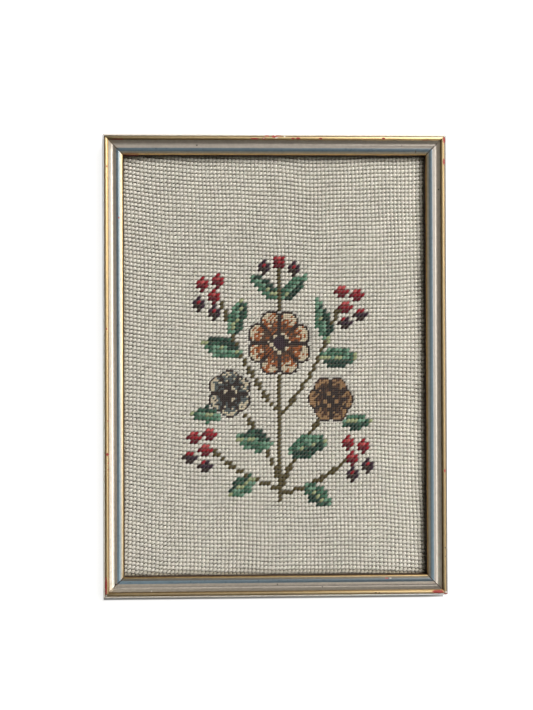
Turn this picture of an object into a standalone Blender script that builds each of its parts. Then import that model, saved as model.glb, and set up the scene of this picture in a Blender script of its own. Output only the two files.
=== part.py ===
"""Framed needlepoint, lying on its back with the picture's top towards +Y.

Four mitred lengths of one narrow moulding hold a canvas worked in wool. The canvas lies in the
rebate behind the sight lip, with a board behind it. Metres, +Z up, origin at the middle of the
back, on the surface that the frame lies on.
"""

import math

import bmesh
import bpy
from mathutils import Matrix, Vector

# The opening, by the count of stitches that shows in it
STITCHES_ACROSS = 79
STITCHES_UP = 105
PITCH_ACROSS = 0.0024872
PITCH_UP = 0.0025974
SIGHT_WIDTH = STITCHES_ACROSS * PITCH_ACROSS
SIGHT_HEIGHT = STITCHES_UP * PITCH_UP

# The moulding, each width measured inwards from its outer side
MOULDING_WIDTH = 0.01275
SHOULDER_WIDTH = 0.0012
BEAD_WIDTH = 0.0024
QUIRK_WIDTH = 0.00025
FALL_WIDTH = 0.00155
FLOOR_WIDTH = 0.0016
RISE_WIDTH = 0.00155
RIDGE_WIDTH = 0.0027
SLOPE_WIDTH = 0.0008
LIP_WIDTH = (MOULDING_WIDTH - SHOULDER_WIDTH - BEAD_WIDTH - QUIRK_WIDTH - FALL_WIDTH - FLOOR_WIDTH
             - RISE_WIDTH - RIDGE_WIDTH - SLOPE_WIDTH)

# Heights above the back, and how far each arc bows from its chord
SIDE_HEIGHT = 0.0131
SHOULDER_HEIGHT = 0.0139
BEAD_FOOT_HEIGHT = 0.0142
QUIRK_HEIGHT = 0.0136
FLOOR_OUTER_HEIGHT = 0.01225
FLOOR_INNER_HEIGHT = 0.01201
RIDGE_OUTER_HEIGHT = 0.0127
RIDGE_INNER_HEIGHT = 0.01215
SLOPE_HEIGHT = 0.01135
LIP_EDGE_HEIGHT = 0.01065
SHOULDER_BOW = 0.00022
BEAD_BOW = 0.00060
FLOOR_BOW = 0.00024
RIDGE_BOW = 0.00024
LIP_BOW = 0.00014

# The rebate that holds the work
REBATE_WIDTH = 0.0050
LEDGE_HEIGHT = 0.0062

# Room kept between pieces that touch
GAP = 0.0003
SAW_WASTE = 0.002
SAW_BLOCK = 0.060

# The canvas and the board behind it, cut to a standard size
CUT_WIDTH = 0.2032
CUT_HEIGHT = 0.2794
CLOTH_THICKNESS = 0.0020
BOARD_THICKNESS = 0.0020
BOARD_EDGE = 0.0003

# The unevenness of the stretched cloth
CELLS_ACROSS = 24
CELLS_UP = 34
FULLNESS = 0.0006
FULLNESS_RUN = 0.016

# Soft swellings of the cloth: middle across and up, spread across and up, height
SWELLINGS = (
    {"x": 0.011, "y": 0.088, "across": 0.013, "up": 0.034, "height": 0.00055},
    {"x": 0.041, "y": -0.064, "across": 0.016, "up": 0.017, "height": 0.00050},
    {"x": -0.031, "y": -0.066, "across": 0.014, "up": 0.018, "height": 0.00035},
    {"x": -0.071, "y": 0.040, "across": 0.015, "up": 0.055, "height": -0.00030},
    {"x": 0.068, "y": 0.070, "across": 0.016, "up": 0.045, "height": 0.00030},
)

ARC_STEPS = 8
SMALL_ARC_STEPS = 4


def clear_scene():
    """Removes whatever the file holds."""
    for thing in list(bpy.data.objects):
        bpy.data.objects.remove(thing)


def collection(name):
    """Adds a collection to the scene."""
    made = bpy.data.collections.new(name)
    bpy.context.scene.collection.children.link(made)
    return made


def move_to(thing, home):
    """Leaves an object in one collection only."""
    for owner in list(thing.users_collection):
        owner.objects.unlink(thing)
    home.objects.link(thing)


def finish(name, colour, roughness, metallic=0.0):
    """Makes a Principled material."""
    material = bpy.data.materials.new(name)
    material.use_nodes = True
    shader = material.node_tree.nodes["Principled BSDF"]
    shader.inputs["Base Color"].default_value = (*colour, 1.0)
    shader.inputs["Roughness"].default_value = roughness
    shader.inputs["Metallic"].default_value = metallic
    material.diffuse_color = (*colour, 1.0)
    return material


def bowed(start, end, bow, steps):
    """Points of an arc that bows from its chord, upwards if bow is positive, ends left out."""
    chord = Vector(end) - Vector(start)
    upright = Vector((-chord.y, chord.x)).normalized()
    radius = chord.length ** 2 / (8 * abs(bow)) + abs(bow) / 2
    side = math.copysign(1, bow)
    centre = (Vector(start) + Vector(end)) / 2 + upright * (bow - side * radius)
    half_turn = math.asin(chord.length / (2 * radius))
    points = []
    for step in range(1, steps):
        turn = half_turn * (2 * step / steps - 1)
        along = chord.normalized() * radius * math.sin(turn)
        points.append(tuple(centre + along + upright * side * radius * math.cos(turn)))
    return points


def moulding_outline():
    """The moulding's section, outer side at 0 and sight edge at MOULDING_WIDTH, back at 0."""
    side_top = (0.0, SIDE_HEIGHT)
    shoulder_end = (SHOULDER_WIDTH, SHOULDER_HEIGHT)
    bead_start = (SHOULDER_WIDTH, BEAD_FOOT_HEIGHT)
    bead_end = (SHOULDER_WIDTH + BEAD_WIDTH, BEAD_FOOT_HEIGHT)
    quirk_end = (bead_end[0] + QUIRK_WIDTH, QUIRK_HEIGHT)
    floor_start = (quirk_end[0] + FALL_WIDTH, FLOOR_OUTER_HEIGHT)
    floor_end = (floor_start[0] + FLOOR_WIDTH, FLOOR_INNER_HEIGHT)
    ridge_start = (floor_end[0] + RISE_WIDTH, RIDGE_OUTER_HEIGHT)
    ridge_end = (ridge_start[0] + RIDGE_WIDTH, RIDGE_INNER_HEIGHT)
    lip_start = (ridge_end[0] + SLOPE_WIDTH, SLOPE_HEIGHT)
    lip_end = (MOULDING_WIDTH, LIP_EDGE_HEIGHT)
    rebate_side = MOULDING_WIDTH - REBATE_WIDTH
    return [
        (0.0, 0.0),
        side_top,
        *bowed(side_top, shoulder_end, SHOULDER_BOW, SMALL_ARC_STEPS),
        shoulder_end,
        bead_start,
        *bowed(bead_start, bead_end, BEAD_BOW, ARC_STEPS),
        bead_end,
        (bead_end[0], QUIRK_HEIGHT),
        quirk_end,
        floor_start,
        *bowed(floor_start, floor_end, -FLOOR_BOW, ARC_STEPS),
        floor_end,
        ridge_start,
        *bowed(ridge_start, ridge_end, RIDGE_BOW, ARC_STEPS),
        ridge_end,
        lip_start,
        *bowed(lip_start, lip_end, LIP_BOW, SMALL_ARC_STEPS),
        lip_end,
        (MOULDING_WIDTH, LEDGE_HEIGHT),
        (rebate_side, LEDGE_HEIGHT),
        (rebate_side, 0.0),
    ]


def moulding_length(name, length, home):
    """A length of moulding as a mesh, its section in local XY and its run along local Z."""
    outline = moulding_outline()
    curve = bpy.data.curves.new(name, "CURVE")
    curve.dimensions = "2D"
    curve.fill_mode = "BOTH"
    curve.extrude = length / 2
    spline = curve.splines.new("POLY")
    spline.points.add(len(outline) - 1)
    for point, (across, up) in zip(spline.points, outline):
        point.co = (across, up, 0.0, 1.0)
    spline.use_cyclic_u = True
    drawn = bpy.data.objects.new(name + "_outline", curve)
    home.objects.link(drawn)

    bpy.context.view_layer.update()
    seen = drawn.evaluated_get(bpy.context.evaluated_depsgraph_get())
    mesh = bpy.data.meshes.new_from_object(seen)
    shape = bmesh.new()
    shape.from_mesh(mesh)
    bmesh.ops.remove_doubles(shape, verts=shape.verts, dist=0.00001)
    bmesh.ops.recalc_face_normals(shape, faces=shape.faces)
    shape.to_mesh(mesh)
    shape.free()
    bpy.data.objects.remove(drawn)

    mesh.name = name
    rail = bpy.data.objects.new(name, mesh)
    home.objects.link(rail)
    return rail


def saw_block(name, on_mitre, removed_side, home):
    """A block whose face is a mitre's saw cut, half a joint's gap off the corner's diagonal."""
    centre = on_mitre + removed_side * (SAW_BLOCK / 2 - GAP / 2)
    bpy.ops.mesh.primitive_cube_add(size=SAW_BLOCK, location=centre)
    block = bpy.context.active_object
    block.name = name
    block.rotation_euler = (0.0, 0.0, math.radians(45))
    block.hide_render = True
    block.display_type = "WIRE"
    move_to(block, home)
    return block


def rail(name, side, span, reach, parts, cutters):
    """One side of the frame, mitred at both ends.

    side counts quarter turns from the bottom rail, span is the rail's outer length and reach is
    the distance from the frame's middle to the rail's outer side.
    """
    turn = Matrix.Rotation(math.radians(90) * side, 4, "Z")
    length = moulding_length(name, span + 2 * SAW_WASTE, parts)
    upright = Matrix(((0, 0, 1, 0), (1, 0, 0, -reach), (0, 1, 0, 0), (0, 0, 0, 1)))
    length.matrix_world = turn @ upright
    for saw_name, end in (("start", -1), ("end", 1)):
        on_mitre = turn @ Vector((end * (span - MOULDING_WIDTH) / 2, MOULDING_WIDTH / 2 - reach, 0))
        removed_side = (turn @ Vector((end, 1, 0))).normalized()
        cut = saw_block(f"saw_{name}_{saw_name}", on_mitre, removed_side, cutters)
        mitre = length.modifiers.new(f"mitre at the {saw_name}", "BOOLEAN")
        mitre.operation = "DIFFERENCE"
        mitre.solver = "EXACT"
        mitre.object = cut
    length.data.shade_smooth()
    length.data.set_sharp_from_angle(angle=math.radians(35))
    return length


def smooth_step(value):
    """Rises from 0 to 1 with no corner at either end."""
    held = min(max(value, 0.0), 1.0)
    return held * held * (3 - 2 * held)


def cloth_rise(across, up):
    """How far the stretched cloth stands above its level under the lip."""
    inside = min(SIGHT_WIDTH / 2 - abs(across), SIGHT_HEIGHT / 2 - abs(up))
    rise = FULLNESS
    for swelling in SWELLINGS:
        far_across = (across - swelling["x"]) / swelling["across"]
        far_up = (up - swelling["y"]) / swelling["up"]
        rise += swelling["height"] * math.exp(-(far_across ** 2 + far_up ** 2) / 2)
    return rise * smooth_step(inside / FULLNESS_RUN)


def stations(cut, sight, cells):
    """Grid lines across the cloth: its cut edge, the sight line, and even cells between."""
    between = [sight * (step / cells - 0.5) for step in range(cells + 1)]
    return [-cut / 2, *between, cut / 2]


def needlepoint(parts):
    """The worked canvas, an even sheet over the soft swellings, flat under the lip."""
    columns = stations(CUT_WIDTH, SIGHT_WIDTH, CELLS_ACROSS)
    rows = stations(CUT_HEIGHT, SIGHT_HEIGHT, CELLS_UP)
    level = LEDGE_HEIGHT - GAP
    shape = bmesh.new()
    bmesh.ops.create_grid(shape, x_segments=len(columns) - 1, y_segments=len(rows) - 1, size=1.0)
    for vertex in shape.verts:
        column = round((vertex.co.x + 1) / 2 * (len(columns) - 1))
        row = round((vertex.co.y + 1) / 2 * (len(rows) - 1))
        across = columns[column]
        up = rows[row]
        vertex.co = (across, up, level + cloth_rise(across, up))
    mesh = bpy.data.meshes.new("needlepoint")
    shape.to_mesh(mesh)
    shape.free()
    sheet = bpy.data.objects.new("needlepoint", mesh)
    parts.objects.link(sheet)
    body = sheet.modifiers.new("thickness", "SOLIDIFY")
    body.thickness = CLOTH_THICKNESS
    body.offset = -1.0
    mesh.shade_smooth()
    return sheet


def backing_board(parts):
    """The board behind the work, with its cut edges just eased."""
    top = LEDGE_HEIGHT - GAP - CLOTH_THICKNESS - GAP
    bpy.ops.mesh.primitive_cube_add(size=1.0, location=(0.0, 0.0, top - BOARD_THICKNESS / 2))
    board = bpy.context.active_object
    board.name = "backing_board"
    board.data.name = "backing_board"
    board.scale = (CUT_WIDTH, CUT_HEIGHT, BOARD_THICKNESS)
    bpy.ops.object.transform_apply(location=False, rotation=False, scale=True)
    eased = board.modifiers.new("eased edges", "BEVEL")
    eased.width = BOARD_EDGE
    eased.segments = 2
    move_to(board, parts)
    return board


def build():
    """Builds the frame, the work and the board."""
    clear_scene()
    parts = collection("framed_needlepoint")
    cutters = collection("cutters")
    moulding = finish("gilt and silvered moulding", (0.52, 0.47, 0.38), 0.38, 0.55)
    wool = finish("ecru wool on canvas", (0.66, 0.61, 0.52), 0.9)
    board = finish("grey board", (0.42, 0.38, 0.32), 0.85)

    outer_width = SIGHT_WIDTH + 2 * MOULDING_WIDTH
    outer_height = SIGHT_HEIGHT + 2 * MOULDING_WIDTH
    sides = (
        ("rail_bottom", outer_width, outer_height / 2),
        ("rail_right", outer_height, outer_width / 2),
        ("rail_top", outer_width, outer_height / 2),
        ("rail_left", outer_height, outer_width / 2),
    )
    for side, (name, span, reach) in enumerate(sides):
        rail(name, side, span, reach, parts, cutters).data.materials.append(moulding)
    needlepoint(parts).data.materials.append(wool)
    backing_board(parts).data.materials.append(board)


build()
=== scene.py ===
"""Dresses a needlepoint picture in its narrow gilt, silver and blue frame.

The four rails of the moulding are drawn again with fine arcs and get their leaf and paint, rubbed and toned
with painted light and shade.
The canvas lies under the sight lip and carries every tent stitch as a raised loop of wool: coarse
stitches for the ground, the leaves and the stems, and stitches of half the size for the blossoms.
"""

import logging
import math
from dataclasses import dataclass, replace
from enum import Enum

import bpy
import numpy as np
from mathutils import Euler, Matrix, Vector
from mathutils.bvhtree import BVHTree


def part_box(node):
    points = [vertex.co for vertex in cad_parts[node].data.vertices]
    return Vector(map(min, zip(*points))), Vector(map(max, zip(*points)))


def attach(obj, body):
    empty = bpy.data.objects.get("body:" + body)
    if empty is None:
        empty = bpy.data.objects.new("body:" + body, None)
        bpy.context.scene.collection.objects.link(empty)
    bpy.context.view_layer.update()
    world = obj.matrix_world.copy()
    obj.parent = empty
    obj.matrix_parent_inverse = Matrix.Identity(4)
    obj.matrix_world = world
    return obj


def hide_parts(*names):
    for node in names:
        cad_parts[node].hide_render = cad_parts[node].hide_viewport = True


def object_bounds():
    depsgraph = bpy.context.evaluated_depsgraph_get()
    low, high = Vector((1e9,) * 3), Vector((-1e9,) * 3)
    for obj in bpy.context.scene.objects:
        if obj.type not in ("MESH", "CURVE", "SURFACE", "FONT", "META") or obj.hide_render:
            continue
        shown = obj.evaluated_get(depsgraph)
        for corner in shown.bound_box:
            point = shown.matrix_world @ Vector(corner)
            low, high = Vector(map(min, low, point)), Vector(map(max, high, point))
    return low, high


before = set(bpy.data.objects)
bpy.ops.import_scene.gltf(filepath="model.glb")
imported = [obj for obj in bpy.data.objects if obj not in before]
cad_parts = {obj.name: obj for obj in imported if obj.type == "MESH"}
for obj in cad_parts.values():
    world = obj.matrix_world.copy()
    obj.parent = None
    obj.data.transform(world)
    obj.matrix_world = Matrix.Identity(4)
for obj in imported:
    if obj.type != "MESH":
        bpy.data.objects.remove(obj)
CAD_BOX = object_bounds()

log = logging.getLogger("framed_needlepoint")

RAIL_STRIDE = 0.7
RAIL_SPANS = (0.222, 0.298)
STITCHES_ACROSS = 79
STITCHES_UP = 105

Socket = bpy.types.NodeSocket
Material = bpy.types.Material
Piece = bpy.types.Object
Colour = tuple[int, int, int]
Pair = tuple[float, float]


def linear(red: int, green: int, blue: int) -> tuple[float, float, float, float]:
    """Turns a colour seen on a screen into the light values that shaders use.

    Args:
        red: Red as seen, 0 to 255.
        green: Green as seen, 0 to 255.
        blue: Blue as seen, 0 to 255.

    Returns:
        Linear red, green, blue and an alpha of one.
    """
    seen = [value / 255 for value in (red, green, blue)]
    light = [v / 12.92 if v <= 0.04045 else ((v + 0.055) / 1.055) ** 2.4 for v in seen]
    return (*light, 1.0)


class Nodes:
    """A material's node tree, filled by short calls."""

    def __init__(self, name: str) -> None:
        """Makes a new material that holds only its shader and its output.

        Args:
            name: The material's name.
        """
        self.material = bpy.data.materials.new(name)
        self.material.use_nodes = True
        self.tree = self.material.node_tree
        self.shader = self.tree.nodes["Principled BSDF"]

    def plug(self, socket: Socket, value: object) -> None:
        """Links a socket to another socket, or sets its number.

        Args:
            socket: The input.
            value: A socket, or what to set.
        """
        if isinstance(value, Socket):
            self.tree.links.new(value, socket)
        else:
            socket.default_value = value

    def dress(self, sockets: dict[str, object]) -> Material:
        """Fills the shader's sockets.

        Args:
            sockets: What goes into each, by its name.

        Returns:
            The finished material.
        """
        for name, value in sockets.items():
            self.plug(self.shader.inputs[name], value)
        return self.material

    def add(self, kind: str, inputs: dict[object, object] | None = None,
            **settings: object) -> bpy.types.Node:
        """Adds a node.

        Args:
            kind: The node's type, without its ShaderNode prefix.
            inputs: Values or sockets for its inputs, by name or by place.
            settings: Properties of the node.

        Returns:
            The new node.
        """
        node = self.tree.nodes.new("ShaderNode" + kind)
        for name, value in settings.items():
            setattr(node, name, value)
        for name, value in (inputs or {}).items():
            self.plug(node.inputs[name], value)
        return node

    def place(self) -> Socket:
        """Gives the place on the piece, in metres."""
        return self.add("TexCoord").outputs["Object"]

    def stored(self, name: str, output: str = "Vector") -> Socket:
        """Reads what the mesh stores for each of its points under a name."""
        return self.add("Attribute", attribute_name=name).outputs[output]

    def axes(self, place: Socket) -> tuple[Socket, ...]:
        """Splits a place into its three numbers."""
        return tuple(self.add("SeparateXYZ", {0: place}).outputs)

    def sum(self, operation: str, *values: object) -> Socket:
        """Works out one number from up to three.

        Args:
            operation: The Math node's operation.
            values: Numbers or sockets.

        Returns:
            The socket that holds the result.
        """
        node = self.add("Math", operation=operation)
        for socket, value in zip(node.inputs, values):
            self.plug(socket, value)
        return node.outputs[0]

    def vector(self, operation: str, first: object, second: object) -> Socket:
        """Works out a vector from two."""
        return self.add("VectorMath", {0: first, 1: second}, operation=operation).outputs[0]

    def spread(self, value: object, low: float, high: float, start: float = 0.0, end: float = 1.0) -> Socket:
        """Maps a value between two limits smoothly on to another range."""
        limits = {"Value": value, "From Min": low, "From Max": high, "To Min": start, "To Max": end}
        return self.add("MapRange", limits, interpolation_type="SMOOTHSTEP").outputs["Result"]

    def blend(self, share: object, first: object, second: object, how: str = "MIX") -> Socket:
        """Mixes two colours, the second showing by its share."""
        inputs = {"Factor": share, 6: first, 7: second}
        return self.add("Mix", inputs, data_type="RGBA", blend_type=how).outputs[2]

    def dimmed(self, colour: object, shade: Socket) -> Socket:
        """Multiplies a colour by a number."""
        grey = self.add("CombineColor", {0: shade, 1: shade, 2: shade}).outputs[0]
        return self.blend(1.0, colour, grey, "MULTIPLY")

    def noise(self, place: object, scale: float, detail: float = 3.0, rough: float = 0.55) -> Socket:
        """Adds even noise at a place, with its scale in features per metre."""
        inputs = {"Vector": place, "Scale": scale, "Detail": detail, "Roughness": rough}
        return self.add("TexNoise", inputs).outputs["Fac"]

    def streaks(self, axes: tuple[Socket, ...], scales: tuple[float, ...], detail: float,
                rough: float = 0.55) -> Socket:
        """Adds noise that is drawn out, with its own scale along each axis."""
        stretched = [self.sum("MULTIPLY", axis, scale) for axis, scale in zip(axes, scales)]
        return self.noise(self.add("CombineXYZ", dict(enumerate(stretched))).outputs[0], 1.0, detail, rough)

    def bump(self, height: object, depth: float, strength: float = 1.0,
             under: Socket | None = None) -> Socket:
        """Raises a surface's normal by a height of up to depth metres.

        Args:
            height: The height, as a share of the depth.
            depth: The depth, in metres.
            strength: How far the raised normal counts.
            under: The normal to raise, if it isn't the surface's own.

        Returns:
            The raised normal.
        """
        inputs = {"Height": height, "Distance": depth, "Strength": strength}
        if under is not None:
            inputs["Normal"] = under
        return self.add("Bump", inputs).outputs["Normal"]


def mesh_piece(name: str, points: np.ndarray, faces: list[np.ndarray], materials: list[Material],
               smooth: bool = True) -> Piece:
    """Makes a mesh object in the scene.

    Args:
        name: The piece's name.
        points: Its points, a row of three numbers each.
        faces: Its faces' point numbers, an array for each number of corners.
        materials: Its materials, in the order of its slots.
        smooth: Whether its faces are shaded smooth.

    Returns:
        The new object.
    """
    mesh = bpy.data.meshes.new(name)
    corners = np.concatenate([block.ravel() for block in faces])
    sizes = np.concatenate([np.full(len(block), block.shape[1]) for block in faces])
    mesh.vertices.add(len(points))
    mesh.vertices.foreach_set("co", points.astype(np.float32).ravel())
    mesh.loops.add(len(corners))
    mesh.loops.foreach_set("vertex_index", corners.astype(np.int32))
    mesh.polygons.add(len(sizes))
    mesh.polygons.foreach_set("loop_start", np.concatenate([[0], np.cumsum(sizes)[:-1]]))
    mesh.update(calc_edges=True)
    mesh.polygons.foreach_set("use_smooth", [smooth] * len(sizes))
    for material in materials:
        mesh.materials.append(material)
    piece = bpy.data.objects.new(name, mesh)
    bpy.context.scene.collection.objects.link(piece)
    return piece


def tube_faces(count: int, stations: int, sides: int) -> list[np.ndarray]:
    """Numbers the faces of closed tubes whose points are stored ring after ring.

    Args:
        count: How many tubes there are.
        stations: Rings of each tube.
        sides: Points of each ring.

    Returns:
        The quads along the tubes, and the faces that close their ends.
    """
    ring = np.arange(stations - 1)[:, None] * sides
    side = np.arange(sides)
    following = (side + 1) % sides
    quads = np.stack([ring + side, ring + following, ring + sides + following, ring + sides + side], axis=2)
    ends = np.stack([side[::-1], (stations - 1) * sides + side])
    starts = np.arange(count)[:, None, None] * stations * sides
    return [(quads.reshape(1, -1, 4) + starts).reshape(-1, 4), (ends + starts).reshape(-1, sides)]


class Yarn(Enum):
    """The wools, each with its colour as seen in daylight."""

    ECRU = (225, 220, 207)
    CREAM = (226, 212, 182)
    TAN = (176, 136, 92)
    RUST = (176, 96, 44)
    BARK = (92, 64, 44)
    UMBER = (52, 38, 32)
    SLATE = (96, 106, 104)
    OLIVE = (88, 78, 46)
    PINE = (40, 66, 54)
    FERN = (60, 96, 76)
    LEAF = (82, 124, 98)
    SAGE = (120, 158, 132)
    LIME = (164, 172, 128)
    ROSE = (192, 86, 84)
    CHERRY = (150, 34, 42)
    WINE = (98, 18, 30)
    PLUM = (56, 36, 48)


@dataclass(frozen=True)
class WoolFinish:
    """Matt, slightly fuzzy wool, coloured stitch by stitch, with painted shade in the grooves between its
    plies.

    Attributes:
        fibre: Size of the fuzz's finest grain, in features per metre.
        cloud: Size of the faint clouds in the dye, in features per metre.
        strands: How many plies show round the yarn.
        twist: How far the plies turn along one stitch.
        ply_depth: Depth of the grooves between plies, in metres.
        fuzz_depth: Depth of the fuzz, in metres.
        roughness: The shader's roughness.
        sheen: The shader's sheen weight.
    """

    fibre: float = 5200.0
    cloud: float = 60.0
    strands: float = 5.0
    twist: float = 1.4
    ply_depth: float = 0.00016
    fuzz_depth: float = 0.00010
    roughness: float = 0.88
    sheen: float = 0.22

    def material(self) -> Material:
        """Builds the material, which reads each stitch's colour, painted shade included, from the mesh.

        Returns:
            The wool.
        """
        nodes = Nodes("dyed_and_shaded_wool")
        place = nodes.place()
        along, around, _ = nodes.axes(nodes.stored("lay"))
        turns = nodes.sum("MULTIPLY_ADD", along, self.twist, nodes.sum("MULTIPLY", around, self.strands))
        groove = nodes.spread(nodes.sum("SINE", nodes.sum("MULTIPLY", turns, math.tau)), -1.0, 0.1)
        fuzz = nodes.noise(place, self.fibre, 2.0, 0.7)
        cloud = nodes.noise(place, self.cloud, 2.0)
        # Painted shade: the colour darkens in the grooves between the plies; fuzz and clouds vary it at
        # random.
        shade = nodes.sum("MULTIPLY", nodes.spread(fuzz, 0.25, 0.75, 0.86, 1.08),
                          nodes.spread(groove, 0.0, 1.0, 0.80, 1.03))
        shade = nodes.sum("MULTIPLY", shade, nodes.spread(cloud, 0.3, 0.7, 0.955, 1.03))
        raised = nodes.bump(groove, self.ply_depth, 0.8)
        return nodes.dress({"Base Color": nodes.dimmed(nodes.stored("dye_and_shade", "Color"), shade),
                            "Roughness": self.roughness, "Sheen Weight": self.sheen,
                            "Sheen Roughness": 0.5, "Specular IOR Level": 0.25,
                            "Normal": nodes.bump(fuzz, self.fuzz_depth, 0.7, raised)})


@dataclass(frozen=True)
class CanvasFinish:
    """Unbleached cotton canvas in double threads, coloured darker than the cotton as painted shade in the
    holes between stitches.

    Attributes:
        shaded_thread: Its colour as seen, darkened as painted shade.
        pitch: The distance from one pair of threads to the next, in metres.
        depth: Depth of the weave, in metres.
    """

    shaded_thread: Colour = (126, 112, 90)
    pitch: float = 0.00254
    depth: float = 0.0003

    def material(self) -> Material:
        """Builds the material, its threads running across and up.

        Returns:
            The canvas.
        """
        nodes = Nodes("cotton_canvas_with_painted_shade")
        across, up, _ = nodes.axes(nodes.place())
        phases = [nodes.sum("MULTIPLY", axis, math.tau * 2 / self.pitch) for axis in (across, up)]
        weave = nodes.sum("MAXIMUM", *[nodes.sum("SINE", phase) for phase in phases])
        # Painted shade: the colour darkens between the threads of the weave.
        lit = nodes.spread(weave, -0.6, 0.9, 0.35, 1.0)
        return nodes.dress({"Base Color": nodes.dimmed(linear(*self.shaded_thread), lit), "Roughness": 0.92,
                            "Normal": nodes.bump(weave, self.depth)})


@dataclass(frozen=True)
class Zone:
    """A band of the moulding, across its section.

    Attributes:
        start: Where the band begins, in metres from the outer side.
        outer: Its colour as seen where it begins.
        inner: Its colour as seen where it ends.
        metal: How metallic it is.
        rough: How rough it is.
    """

    start: float
    outer: Colour
    inner: Colour
    metal: float
    rough: float


@dataclass(frozen=True)
class Chip:
    """A place where leaf or paint is rubbed through.

    Attributes:
        x: Its middle, across the picture, in metres.
        y: Its middle, up the picture, in metres.
        half_x: Half its size across, in metres.
        half_y: Half its size up, in metres.
    """

    x: float
    y: float
    half_x: float
    half_y: float


@dataclass(frozen=True)
class WearAndPaintedLight:
    """How far one rail's forms are darkened or made paler, form by form: partly rubbing, partly
    painted light and shade for how each form on that rail faces the lights.

    The forms are the shoulder, the bead's edge, the bead, the channel's fall, floor and rise, the
    ridge, its edge, the slope and the lip.

    Attributes:
        first: Their tones where the rail starts, going round against the clock, one for unchanged.
        middle: Their tones halfway along it.
        last: Their tones where the rail ends.
    """

    first: tuple[float, ...]
    middle: tuple[float, ...]
    last: tuple[float, ...]


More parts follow.
